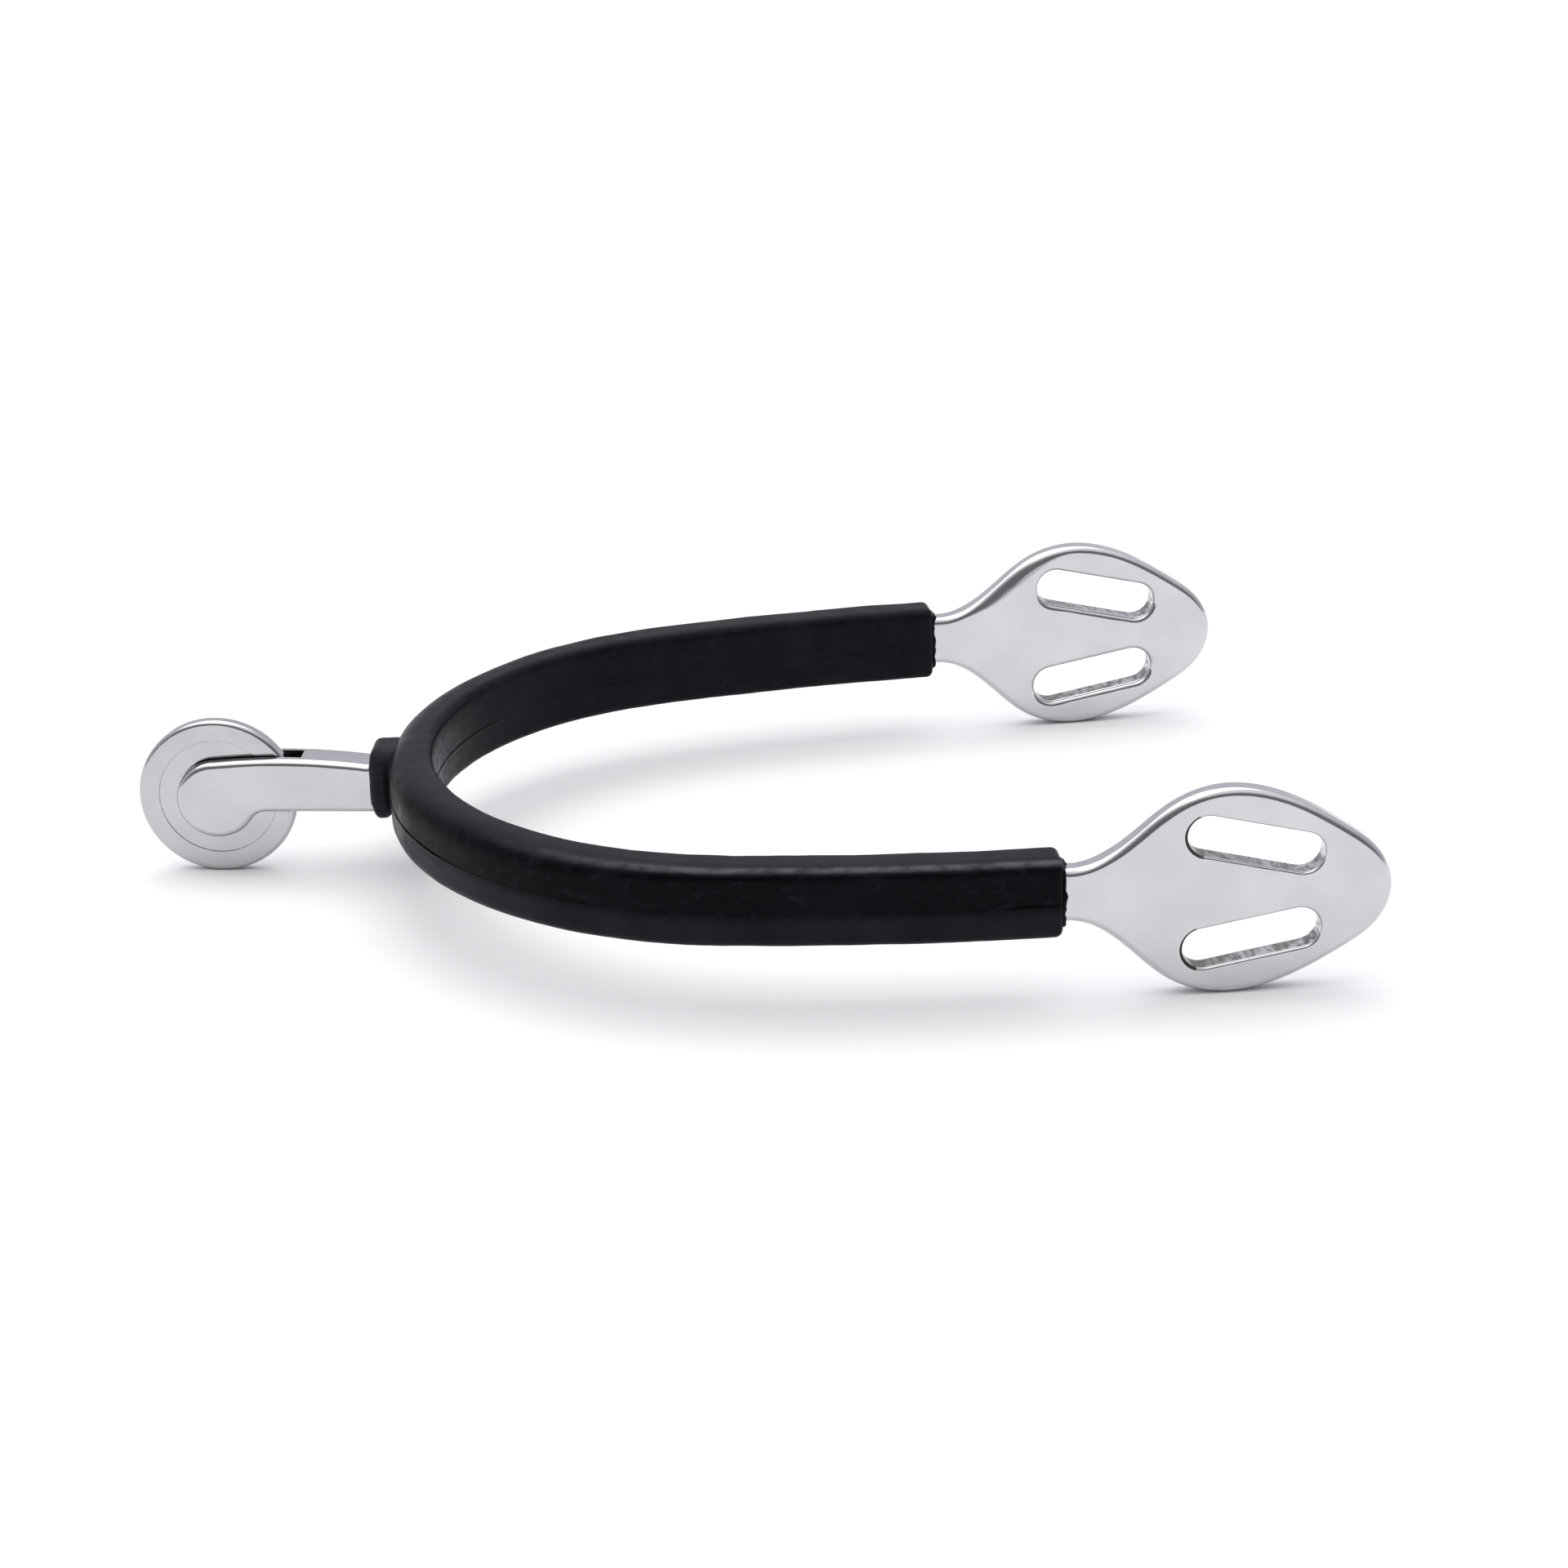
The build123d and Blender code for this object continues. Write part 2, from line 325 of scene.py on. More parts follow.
def fork_shade_steel():
    """Inside of the fork: rough unpolished steel, painted near-black as the shade inside the narrow slot."""
    made, tree, shader, place = material("fork_shade_steel", Metallic=1.0)
    stain = grain(tree, place, 700, detail=4)
    # painted shade: near-black colour inside the fork
    colour = blend(tree, stain, (0.035, 0.035, 0.037), (0.11, 0.105, 0.10))
    tree.links.new(colour, shader.inputs["Base Color"])
    tree.links.new(spread(tree, stain, 0.3, 0.7, 0.35, 0.5), shader.inputs["Roughness"])
    bumps(tree, shader, [(stain, 0.00004, 0.6)])
    return made


def turned_steel():
    """Turned and polished steel: fine rings about the rowel's axis, and a painted shade line at the recess's
    step.
    """
    made, tree, shader, place = material("turned_steel", Metallic=1.0)
    offset = node(tree, "ShaderNodeVectorMath", operation="SUBTRACT")
    offset.inputs[1].default_value = ROWEL_AXIS * MM
    tree.links.new(place, offset.inputs[0])
    distance = node(tree, "ShaderNodeVectorMath", operation="LENGTH")
    tree.links.new(offset.outputs[0], distance.inputs[0])
    reach = node(tree, "ShaderNodeCombineXYZ")
    tree.links.new(distance.outputs["Value"], reach.inputs["X"])
    rings = node(tree, "ShaderNodeTexNoise", noise_dimensions="3D", Scale=9000.0, Detail=3.0)
    wide_rings = node(tree, "ShaderNodeTexNoise", noise_dimensions="3D", Scale=1500.0, Detail=2.0)
    for texture in (rings, wide_rings):
        tree.links.new(reach.outputs[0], texture.inputs["Vector"])
    cloud = grain(tree, place, 200, detail=3)
    scuffs = grain(tree, place, 900, stretch=(1, 1, 5), turn=0.9, detail=5)
    colour = blend(tree, spread(tree, cloud, 0.3, 0.7, 0, 1), (0.475, 0.48, 0.493), (0.52, 0.522, 0.532))
    # painted shade: a broken dark line along the recess's step
    beyond_step = arithmetic(tree, "SUBTRACT", distance.outputs["Value"], RECESS_STEP * MM)
    off_step = arithmetic(tree, "ABSOLUTE", beyond_step)
    step_shade = arithmetic(tree, "MULTIPLY", spread(tree, off_step, 0.00002, 0.00014, 1, 0),
                       spread(tree, grain(tree, place, 1600, detail=2), 0.4, 0.62, 0.15, 0.65))
    colour = blend(tree, step_shade, colour, (0.25, 0.25, 0.255))
    tree.links.new(colour, shader.inputs["Base Color"])
    rough = arithmetic(tree, "ADD", spread(tree, rings.outputs["Fac"], 0.3, 0.7, 0.10, 0.17),
                       spread(tree, scuffs, 0.5, 0.75, 0, 0.08))
    tree.links.new(rough, shader.inputs["Roughness"])
    bumps(tree, shader, [(grain(tree, place, 260, detail=1), 0.00003, 0.5),
                         (wide_rings.outputs["Fac"], 0.000008, 0.5),
                         (rings.outputs["Fac"], 0.000003, 0.5)])
    return made


def moulded_rubber():
    """Satin black rubber: faint bloom, smudges, fine mould grain and a few dust specks, and lighter patches
    of painted light.

    The mesh's marks attribute says where the colour is lightened: red for a painted highlight along the
    cover's outer top edges, painted reflection streaks inside the heel and faint wear on the collar; green
    for a greyer tone, painted reflection on the cover's lower half, top faces and inner walls and a lighter
    tone over the collar.
    """
    made, tree, shader, place = material("moulded_rubber", Specular_IOR_Level=0.06,
                                         Specular_Tint=(0.78, 0.89, 1.0, 1))
    marks = node(tree, "ShaderNodeSeparateColor")
    tree.links.new(node(tree, "ShaderNodeVertexColor", layer_name="marks").outputs["Color"], marks.inputs[0])
    highlight_and_wear, reflection_and_tone = marks.outputs["Red"], marks.outputs["Green"]
    bloom = grain(tree, place, 130, detail=5, distortion=0.4)
    rubbed = grain(tree, place, 420, stretch=(1, 1, 2.5), detail=5)
    fine = grain(tree, place, 3200, detail=3)
    dust = spread(tree, grain(tree, place, 5200, detail=1), 0.76, 0.82, 0, 0.35)
    smudges = grain(tree, place, 620, stretch=(1, 1, 1.6), detail=6)
    bloomed = spread(tree, bloom, 0.35, 0.7, 0, 1)
    dark = blend(tree, bloomed, (0.0012, 0.0014, 0.0019), (0.0032, 0.0036, 0.0046))
    # greyer colour where the marks' green is high: painted reflection on the cover, a lighter tone on the
    # collar
    greyed = blend(tree, bloomed, (0.013, 0.0145, 0.0185), (0.020, 0.022, 0.027))
    # painted highlight and reflection streaks on the cover, faint wear on the collar, broken up by noise
    patchy_highlight_and_wear = arithmetic(tree, "MULTIPLY", highlight_and_wear, spread(tree, rubbed, 0.3, 0.62, 0.35, 1))
    colour = blend(tree, reflection_and_tone, dark, greyed)
    colour = blend(tree, spread(tree, smudges, 0.5, 0.8, 0, 0.45), colour, (0.016, 0.0175, 0.0215))
    colour = blend(tree, patchy_highlight_and_wear, colour, (0.115, 0.12, 0.135))
    tree.links.new(blend(tree, dust, colour, (0.06, 0.062, 0.068)), shader.inputs["Base Color"])
    rough = arithmetic(tree, "ADD", spread(tree, rubbed, 0.35, 0.7, 0.30, 0.38),
                       spread(tree, bloom, 0.3, 0.7, 0, 0.08))
    tree.links.new(rough, shader.inputs["Roughness"])
    bumps(tree, shader, [(rubbed, 0.00004, 0.5), (fine, 0.000035, 0.5)])
    return made


# ---- mesh pieces ---------------------------------------------------------------------------------

def along_band(s):
    """Point of the band's mid-line and its outward direction, at s along it from the heel, far side +."""
    x, y, heading = HEEL_X, 0.0, pi / 2
    left = abs(s)
    for radius, turn in BENDS:
        step = min(left, radius * radians(turn))
        after = heading - step / radius
        x += radius * (sin(heading) - sin(after))
        y += radius * (cos(after) - cos(heading))
        heading = after
        left -= step
    x += left * cos(heading)
    y += left * sin(heading)
    side = 1 if s >= 0 else -1
    return Vector((x, side * y, HEEL_Z)), Vector((-sin(heading), side * cos(heading), 0))


def band_reach():
    """Length along the mid-line from the heel to the end of the cover."""
    bent = sum(radius * radians(turn) for radius, turn in BENDS)
    end, out = along_band(bent)
    return bent + (HEEL_X + HEEL_DEPTH - end.x) / out.y


def evenly(outline, spacing):
    """A closed outline with extra points wherever two are further apart than spacing."""
    points = []
    for a, b in zip(outline, outline[1:] + outline[:1]):
        count = max(1, round((b - a).length / spacing))
        points += [a.lerp(b, k / count) for k in range(count)]
    return points


def corner_arc(before, here, after, radius):
    """Start, end and centre of the arc that rounds the corner here between two neighbours."""
    back, ahead = (before - here).normalized(), (after - here).normalized()
    half = back.angle(ahead) / 2
    straight = cos(half) < 1e-6
    reach = 0.0 if straight else radius / max(0.01, abs(sin(half) / cos(half)))
    centre = here + (back + ahead).normalized() * (radius / sin(half))
    return here + back * reach, here + ahead * reach, centre


def rounded_outline(corners, radii, places):
    """Closed outline with rounded corners; places are the extra points on each straight side."""
    corners = [Vector(corner) for corner in corners]
    count = len(corners)
    arcs = [corner_arc(corners[k - 1], corners[k], corners[(k + 1) % count], radii[k]) for k in range(count)]
    outline = []
    for k, (start, end, centre) in enumerate(arcs):
        first, last = start - centre, end - centre
        sweep = first.angle_signed(last)
        steps = 8 if abs(sweep) > 0.6 else 2
        outline += [centre + Matrix.Rotation(-sweep * step / steps, 2) @ first for step in range(steps + 1)]
        stop = arcs[(k + 1) % count][0]
        outline += [end + (stop - end) * share for share in places[k]]
    return outline


def outline_normals(outline):
    """Outward direction at each point of an outline that runs anticlockwise."""
    normals = []
    for k, point in enumerate(outline):
        run = outline[(k + 1) % len(outline)] - outline[k - 1]
        normals.append(Vector((run.y, -run.x)).normalized())
    return normals


def opening(outline, half_size, centre=(0, 0), power=6):
    """Points of a rounded opening, each in line with the same point of the outline."""
    points = []
    for point in outline:
        u, v = point[0] - centre[0], point[1] - centre[1]
        size = ((abs(u) / half_size[0]) ** power + (abs(v) / half_size[1]) ** power) ** (1 / power)
        points.append(Vector((centre[0] + u / size, centre[1] + v / size)))
    return points


def hollow_piece(name, rings, marks, look):
    """Closed skin through rings of points that lead along the outside and back through the bore.

    marks has, for each point, its painted highlight and wear, and its painted reflection and lighter tone.
    """
    count = len(rings[0])
    vertices = [point * MM for ring in rings for point in ring]
    faces = []
    for k in range(len(rings)):
        here, there = k * count, (k + 1) % len(rings) * count
        for j in range(count):
            after = (j + 1) % count
            faces.append((here + j, here + after, there + after, there + j))
    mesh = bpy.data.meshes.new(name)
    mesh.from_pydata(vertices, [], faces)
    mesh.polygons.foreach_set("use_smooth", [True] * len(faces))
    mesh.materials.append(look)
    colours = mesh.color_attributes.new("marks", "FLOAT_COLOR", "POINT")
    colours.data.foreach_set("color", [part for highlight_and_wear, reflection_and_tone in marks for part in (highlight_and_wear, reflection_and_tone, 0, 1)])
    mesh.update()
    made = bpy.data.objects.new(name, mesh)
    bpy.context.scene.collection.objects.link(made)
    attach(made, "spur")
    return made


def nearest_place(point):
    """Place along the band, from the heel, that is near to a point of the cover's outer skin; far side +."""
    side = 1 if point.y >= 0 else -1
    heel_radius, heel_turn = BENDS[0][0], radians(BENDS[0][1])
    turned = atan2(abs(point.y), HEEL_X + heel_radius - point.x)
    if turned < heel_turn:
        return side * turned * heel_radius
    past_bend = point.x - HEEL_X - heel_radius * (1 - cos(heel_turn))
    return side * (heel_turn * heel_radius + past_bend)


def wobble(point, cell, seed=0.0):
    """Smooth noise between about -1 and 1, with cells of the given size in millimetres."""
    return noise.noise(point / cell + Vector((seed, 1.7 * seed, 0)))


def fade(value, low, high):
    """0 below low, 1 above high, smooth between."""
    t = min(1.0, max(0.0, (value - low) / (high - low)))
    return t * t * (3 - 2 * t)


def parting_relief(s, height, outer, reach):
    """How far the mould's parting line stands proud of, or cuts into, the cover at height above it."""
    near_end = fade(-s, reach - 9, reach - 2)
    far_end = fade(s, reach - 7, reach - 1)
    heel = 1 - fade(abs(s), 16, 30)
    if outer:
        slit = 0.30 * heel + 0.28 * max(near_end, far_end)
        flash = 0.05 + 0.05 * heel
    else:
        slit = 0.06 + 0.2 * heel
        flash = 0.06
    slit *= 0.75 + 0.5 * wobble(Vector((s, 0, 0)), 4.0, 3.1)
    flash *= 0.8 + 0.6 * wobble(Vector((s, 0, 0)), 2.2, 8.3)
    return flash * exp(-((height + 0.16) / 0.13) ** 2) - slit * exp(-(height / 0.085) ** 2)


def sleeve_marks(s, flat, normal):
    """How much painted highlight and painted reflection lighten the cover at s along it, at one point of its
    outline.
    """
    # painted highlight: a lighter line along the outer top edge of the arms
    edge_highlight = exp(-((normal.angle(Vector((0.6, 0.8))) / 0.20) ** 2)) * (flat.x > 0) * fade(abs(s), 24, 60)
    # painted reflection: lighter streaks low on the inner wall round the heel
    streak_reflection = exp(-(((s - 3) / 11) ** 2)) * (normal.x < -0.8) * fade(3.6 - flat.y, 0, 1.5)
    streak_reflection *= fade(wobble(Vector((s, 2.2 * flat.y, 0)), 1.6, 2), -0.5, 0.4)
    highlight_and_wear = max(edge_highlight, streak_reflection)
    # painted reflection: the inner walls a little greyer
    if normal.x < -0.5:
        return highlight_and_wear, 0.35
    # painted reflection: greyer below the parting line, more so round the heel, and on the upward-facing top
    lower_half = fade(PARTING - flat.y, 0.0, 1.4) * (0.6 + 0.4 * (1 - fade(abs(s), 20, 50)))
    return highlight_and_wear, max(lower_half, 0.7 * fade(normal.y, 0.5, 0.95))


def sleeve(look):
    """Cover of the heel band: a crowned bar with a parting line, rounded ends and a torn lip at each end."""
    reach = band_reach()
    beside = [0.006, 0.014, 0.024, 0.036, 0.055, 0.09, 0.14, 0.22, 0.34, 0.5, 0.66, 0.82]
    backward = [1 - share for share in reversed(beside)]
    top = [0.25, 0.5, 0.75]
    places = [beside, top, backward, beside, top, backward]
    arm_outline = rounded_outline(SLEEVE_CORNERS, ARM_RADII, places)
    heel_outline = rounded_outline(SLEEVE_CORNERS, HEEL_RADII, places)
    bore = opening(arm_outline, BORE)
    lip_bore = opening(arm_outline, LIP_BORE)
    lip_side = opening(arm_outline, (LIP_BORE[0] + LIP_WIDTH, LIP_BORE[1] + LIP_WIDTH))

    def outline_at(s):
        share = fade(abs(s), 22, 62)
        flats = [soft.lerp(firm, share) for soft, firm in zip(heel_outline, arm_outline)]
        return list(zip(flats, outline_normals(flats)))

    def placed(s, flats, ahead=0.0):
        """The flat points in their place across the band at s, moved along the arm by ahead."""
        origin, out = along_band(s)
        forward = Vector((out.y, -out.x, 0)) * (1 if s > 0 else -1)
        return [origin + out * flat.x + Vector((0, 0, flat.y)) + forward * ahead for flat in flats]

    def skin(s, inset):
        section = outline_at(s)
        ring = []
        for (flat, normal), where in zip(section, placed(s, [flat for flat, _ in section])):
            proud = 0.06 * wobble(where, 5.0) + 0.022 * wobble(where, 1.6, 4.0)
            if abs(normal.x) > 0.8:
                proud += parting_relief(s, flat.y - PARTING, normal.x > 0, reach)
            ring.append(flat + normal * (proud - inset))
        return placed(s, ring)

    def face(s, share):
        """Ring on an end face, share of the way from the lip out to the rounded edge."""
        flats = []
        for (flat, normal), side in zip(outline_at(s), lip_side):
            edge = flat - normal * SLEEVE_END_R
            flats.append(side + (edge - side) * share)
        return [where + Vector((0.05 * wobble(where, 2.0), 0, 0)) for where in placed(s, flats)]

    def lip(s, flats, ahead, rag):
        """Ring of the torn lip, drawn out along the steel by ahead and uneven by rag."""
        torn = []
        for flat, where in zip(flats, placed(s, flats)):
            tear = wobble(where, 1.3, 6.0) + 0.5 * wobble(where, 0.5, 9.0)
            torn.append((flat * (1 + 0.04 * rag * tear), ahead * (1 + 0.8 * rag * tear)))
        return [placed(s, [flat], along)[0] for flat, along in torn]

    def end_rings(s):
        """Rings of one end, from its flat face over the lip into the bore."""
        inner_side = [side.lerp(hole, 0.35) for side, hole in zip(lip_side, lip_bore)]
        inward = -1 if s > 0 else 1
        return [face(s, 0.7), face(s, 0.25), lip(s, lip_side, 0.1, 0.3),
                lip(s, lip_side, 0.45 * LIP_LENGTH, 0.6), lip(s, inner_side, 0.92 * LIP_LENGTH, 1),
                lip(s, lip_bore, LIP_LENGTH, 1), lip(s, lip_bore, 0.5 * LIP_LENGTH, 0.3),
                placed(s, lip_bore), placed(s + BORE_TAPER * inward, bore)]

    near, far = -reach - NEAR_EXTRA, reach
    turns = [radians(angle) for angle in (90, 75, 60, 45, 30, 15)]
    rings = []
    for angle in turns:
        rings.append(skin(near + SLEEVE_END_R * (1 - sin(angle)), SLEEVE_END_R * (1 - cos(angle))))
    spans = 420
    for k in range(spans + 1):
        rings.append(skin(near + SLEEVE_END_R + (far - near - 2 * SLEEVE_END_R) * k / spans, 0))
    for angle in reversed(turns):
        rings.append(skin(far - SLEEVE_END_R * (1 - sin(angle)), SLEEVE_END_R * (1 - cos(angle))))
    rings += end_rings(far)
    bore_spans = 90
    for k in range(1, bore_spans):
        rings.append(placed(far - BORE_TAPER - (far - near - 2 * BORE_TAPER) * k / bore_spans, bore))
    rings += reversed(end_rings(near))

    section = list(zip(arm_outline, outline_normals(arm_outline)))
    marks = []
    for ring in rings:
        s = nearest_place(ring[0])
        marks += [sleeve_marks(s, flat, normal) for flat, normal in section]
    made = hollow_piece("sleeve_rubber", rings, marks, look)
    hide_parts("rubber_sleeve")


def collar(look):
    """Collar round the neck, with a rounded outer end and a crease where it meets the sleeve."""
    wide, high = COLLAR_HALF
    corners = [(wide, -high), (wide, high), (-wide, high), (-wide, -high)]
    outline = rounded_outline(corners, [COLLAR_CORNER_R] * 4, [[0.12, 0.3, 0.5, 0.7, 0.88]] * 4)
    normals = outline_normals(outline)
    bore = opening(outline, COLLAR_BORE, (0, COLLAR_BORE_MIDDLE - COLLAR_MIDDLE))

    def place(x, spot):
        return ROWEL_AXIS + NECK_ALONG * x + NECK_ACROSS * spot[0] + Vector((0, 0, COLLAR_MIDDLE + spot[1]))

    def softness(flat):
        """How many times larger the end's rounding is here than at the top."""
        return 1 + 0.9 * fade(-flat.y, 1.5, 4.2)

    def skin(x, inset):
        ring = []
        for flat, normal in zip(outline, normals):
            where = place(x, flat)
            proud = 0.07 * wobble(where, 2.4) + 0.03 * wobble(where, 1.0, 5.0)
            crease = 0.45 * exp(-((x - COLLAR_VALLEY) / 0.4) ** 2) * (1 - fade(flat.y, 1.5, 4))
            ring.append(place(x, flat + normal * (proud - crease - inset * softness(flat))))
        return ring

    def face(x, share, lift):
        """Ring on an end face, share of the way from the bore to the rounded edge, raised by about lift."""
        ring = []
        for flat, normal, hole in zip(outline, normals, bore):
            edge = flat - normal * COLLAR_END_R * softness(flat)
            where = place(x, hole + (edge - hole) * share)
            ring.append(where - NECK_ALONG * (lift * (1 + 0.9 * wobble(where, 0.7, 6.0))))
        return ring

    rings = []
    for angle in map(radians, (90, 72, 54, 36, 18)):
        along = COLLAR_OUTER_END + COLLAR_END_R * (1 - sin(angle))
        rings.append(skin(along, COLLAR_END_R * (1 - cos(angle))))
    start, spans = COLLAR_OUTER_END + COLLAR_END_R, 24
    for k in range(spans + 1):
        rings.append(skin(start + (COLLAR_INNER_END - start) * k / spans, 0))
    rings.append(face(COLLAR_INNER_END, 0.5, 0.0))
    for along in (COLLAR_INNER_END, (COLLAR_INNER_END + COLLAR_OUTER_END) / 2, COLLAR_OUTER_END + 0.3):
        rings.append([place(along, hole) for hole in bore])
    for share, lift in ((0.10, 0.10), (0.3, 0.12), (0.6, 0.0), (0.85, 0.0)):
        rings.append(face(COLLAR_OUTER_END, share, lift))
    # a uniform lighter, faintly patchy tone over the whole collar
    highlight_and_wear, reflection_and_tone = 0.08, 0.5
    made = hollow_piece("collar_rubber", rings, [(highlight_and_wear, reflection_and_tone)] * len(outline) * len(rings), look)
    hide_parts("neck_collar")


def smooth_curve(points, start, end, steps):
    """Points along a cubic spline through the given ones, with the given end directions."""
    knots = [0.0]
    for a, b in zip(points, points[1:]):
        knots.append(knots[-1] + (Vector(b) - Vector(a)).length)
    spans = [b - a for a, b in zip(knots, knots[1:])]
    last = len(points) - 1
    slopes = []
    for axis in (0, 1):
        value = [point[axis] for point in points]
        # slopes at the knots: a tridiagonal system, solved by forward elimination and back substitution
        upper, right = [0.0], [start[axis]]
        for k in range(1, last):
            before, after = spans[k - 1], spans[k]
            pivot = 2 * (before + after) - after * upper[k - 1]
            rise = after / before * (value[k] - value[k - 1]) + before / after * (value[k + 1] - value[k])
            upper.append(before / pivot)
            right.append((3 * rise - after * right[k - 1]) / pivot)
        slope = [0.0] * last + [end[axis]]
        for k in reversed(range(last)):
            slope[k] = right[k] - upper[k] * slope[k + 1]
        slopes.append(slope)
    curve = []
    for k, span in enumerate(spans):
        for step in range(steps):
            t = step / steps
            spot = []
            for axis in (0, 1):
                a, b = points[k][axis], points[k + 1][axis]
                m, n = slopes[axis][k] * span, slopes[axis][k + 1] * span
                spot.append((2 * t ** 3 - 3 * t ** 2 + 1) * a + (t ** 3 - 2 * t ** 2 + t) * m
                            + (3 * t ** 2 - 2 * t ** 3) * b + (t ** 3 - t ** 2) * n)
            curve.append(Vector(spot))
    return curve + [Vector(points[-1])]


def inside(spot, outline):
    """Whether a point is inside a closed outline."""
    crossings = 0
    for a, b in zip(outline, outline[1:] + outline[:1]):
        if (a.y > spot.y) != (b.y > spot.y) and spot.x < a.x + (spot.y - a.y) / (b.y - a.y) * (b.x - a.x):
            crossings += 1
    return crossings % 2 == 1


def turned_points(centre, radius, start, end, steps):
    """Points along an arc between two angles, both ends included."""
    return [Vector((centre[0] + radius * cos(start + (end - start) * k / steps),
                    centre[1] + radius * sin(start + (end - start) * k / steps))) for k in range(steps + 1)]


class Shape:
    """Mesh under construction, with its own shading normal at each corner of each face."""

    def __init__(self, place, turn):
        self.place, self.turn = place, turn      # from (across, up, out) in millimetres to the scene
        self.points, self.flat_of, self.faces, self.normals, self.looks = [], [], [], [], []

    def point(self, flat, depth):
        self.points.append(self.place(flat, depth) * MM)
        self.flat_of.append(flat)
        return len(self.points) - 1

    def face(self, corners, normals, look=0):
        """normals are in the shape's own axes, one for each corner or one for all."""
        if isinstance(normals, Vector):
            normals = [normals] * len(corners)
        spots = [self.points[corner] for corner in corners]
        facing = (spots[2] - spots[0]).cross(spots[-1] - spots[1])
        turned = [self.turn(normal) for normal in normals]
        if facing.dot(sum(turned, Vector())) < 0:
            corners, turned = corners[::-1], turned[::-1]
        self.faces.append(corners)
        self.normals += turned
        self.looks.append(look)

    def rim(self, outline, normals, half, edges, side, look=0):
        """Rounded edge between a flat face, on the given side, and the wall round an outline.

        edges gives, for each point, how far the rounding reaches over the face and down the wall. Returns the
        points and normals on the wall; the points on the face are kept in border.
        """
        previous = None
        for step in range(9):
            angle = pi / 2 * (1 - step / 8)
            over, down = 1 - cos(angle), 1 - sin(angle)
            ring, facing = [], []
            for flat, normal, (reach, depth) in zip(outline, normals, edges):
                ring.append(self.point(flat - normal * reach * over, side * (half - depth * down)))
                across, up = cos(angle) / reach, sin(angle) / depth
                facing.append(Vector((normal.x * across, normal.y * across, side * up)).normalized())
            if previous:
                self.strip(previous[0], ring, previous[1], facing, look)
            else:
                self.border = ring
            previous = ring, facing
        return previous

    def sheet(self, border, holes, normal, look=0):
        """Flat face inside a border of points, round some holes."""
        rings = [border] + holes
        indices = [index for ring in rings for index in ring]
        flats = [self.flat_of[index] for index in indices]
        edges, first = [], 0
        for ring in rings:
            edges += [(first + k, first + (k + 1) % len(ring)) for k in range(len(ring))]
            first += len(ring)
        made = geometry.delaunay_2d_cdt(flats, edges, [], 0, 1e-7)
        for triangle in made[2]:
            middle = sum((made[0][corner] for corner in triangle), Vector((0, 0))) / 3
            if any(inside(middle, [self.flat_of[index] for index in hole]) for hole in holes):
                continue
            if inside(middle, [self.flat_of[index] for index in border]):
                self.face([indices[made[3][corner][0]] for corner in triangle], normal, look)

    def strip(self, ring, following, ring_normals, following_normals, look=0, closed=True):
        """Smooth quads between two rings of points; look is a material index, or a list of one a point."""
        count = len(ring)
        for k in range(count if closed else count - 1):
            n = (k + 1) % count
            self.face([ring[k], ring[n], following[n], following[k]],
                      [ring_normals[k], ring_normals[n], following_normals[n], following_normals[k]],
                      look[k] if isinstance(look, list) else look)

    def finished(self, name, looks):
        mesh = bpy.data.meshes.new(name)
        mesh.from_pydata(self.points, [], self.faces)
        mesh.polygons.foreach_set("use_smooth", [True] * len(self.faces))
        for look in looks:
            mesh.materials.append(look)
        mesh.polygons.foreach_set("material_index", self.looks)
        mesh.normals_split_custom_set(self.normals)
        made = bpy.data.objects.new(name, mesh)
        bpy.context.scene.collection.objects.link(made)
        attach(made, "spur")
        return made


